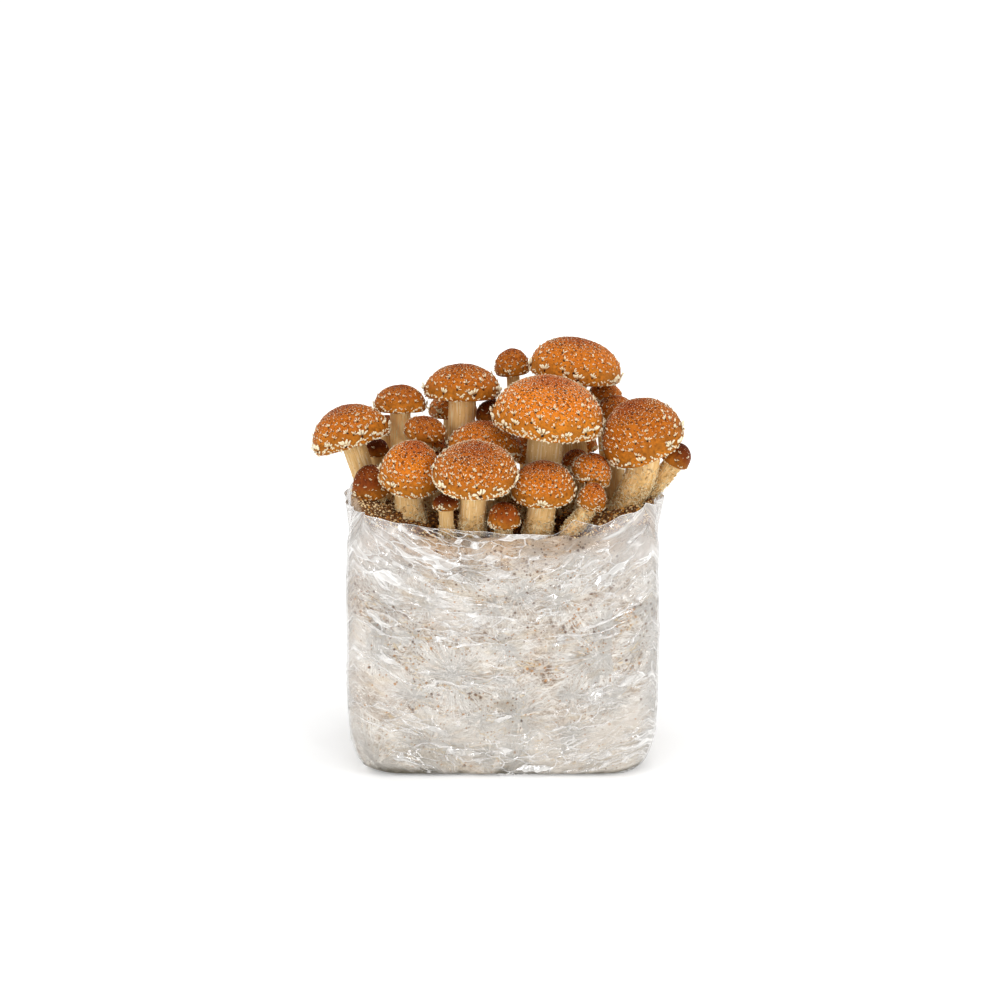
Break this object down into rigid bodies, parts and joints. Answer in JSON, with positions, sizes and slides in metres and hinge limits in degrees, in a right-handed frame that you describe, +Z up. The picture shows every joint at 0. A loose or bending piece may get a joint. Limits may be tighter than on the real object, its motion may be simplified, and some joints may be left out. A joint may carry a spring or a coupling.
{
  "type": "mushroom grow kit",
  "caption": "Film bag of mushroom fruiting substrate with a crop of scaly chestnut-brown mushrooms growing from its open top.",
  "frame": {"origin": "middle of the kit's flat base, under the middle of the block", "axes": "+Z up, the kit's front (the wide side seen in the picture) towards -Y, the bag's wide sides along X"},
  "size_m": [0.2539, 0.1578, 0.2767],
  "materials": {
    "bag_film": "gloss",
    "substrate": "matte",
    "stem": "matte",
    "cap": "satin",
    "young_cap": "satin"
  },
  "bodies": {
    "root": {"bag": "bag_film", "substrate_block": "substrate", "cap_01": "cap", "cap_02": "cap", "cap_03": "cap", "cap_04": "cap", "cap_05": "cap", "cap_06": "cap", "cap_07": "cap", "cap_08": "cap", "cap_09": "cap", "cap_10": "cap", "cap_11": "cap", "cap_12": "cap", "cap_13": "young_cap", "cap_14": "young_cap", "cap_15": "young_cap", "cap_16": "young_cap", "cap_17": "cap", "cap_18": "cap", "cap_19": "cap", "cap_20": "cap", "cap_21": "cap", "cap_22": "cap", "cap_23": "young_cap", "cap_24": "young_cap", "cap_25": "cap", "cap_26": "cap", "cap_27": "cap", "cap_28": "cap", "cap_29": "cap", "stem_01": "stem", "stem_02": "stem", "stem_03": "stem", "stem_04": "stem", "stem_05": "stem", "stem_06": "stem", "stem_07": "stem", "stem_08": "stem", "stem_09": "stem", "stem_10": "stem", "stem_11": "stem", "stem_12": "stem", "stem_13": "stem", "stem_14": "stem", "stem_15": "stem", "stem_16": "stem", "stem_17": "stem", "stem_18": "stem", "stem_19": "stem", "stem_20": "stem", "stem_21": "stem", "stem_22": "stem", "stem_23": "stem", "stem_24": "stem", "stem_25": "stem", "stem_26": "stem", "stem_27": "stem", "stem_28": "stem", "stem_29": "stem"}
  },
  "joints": []
}
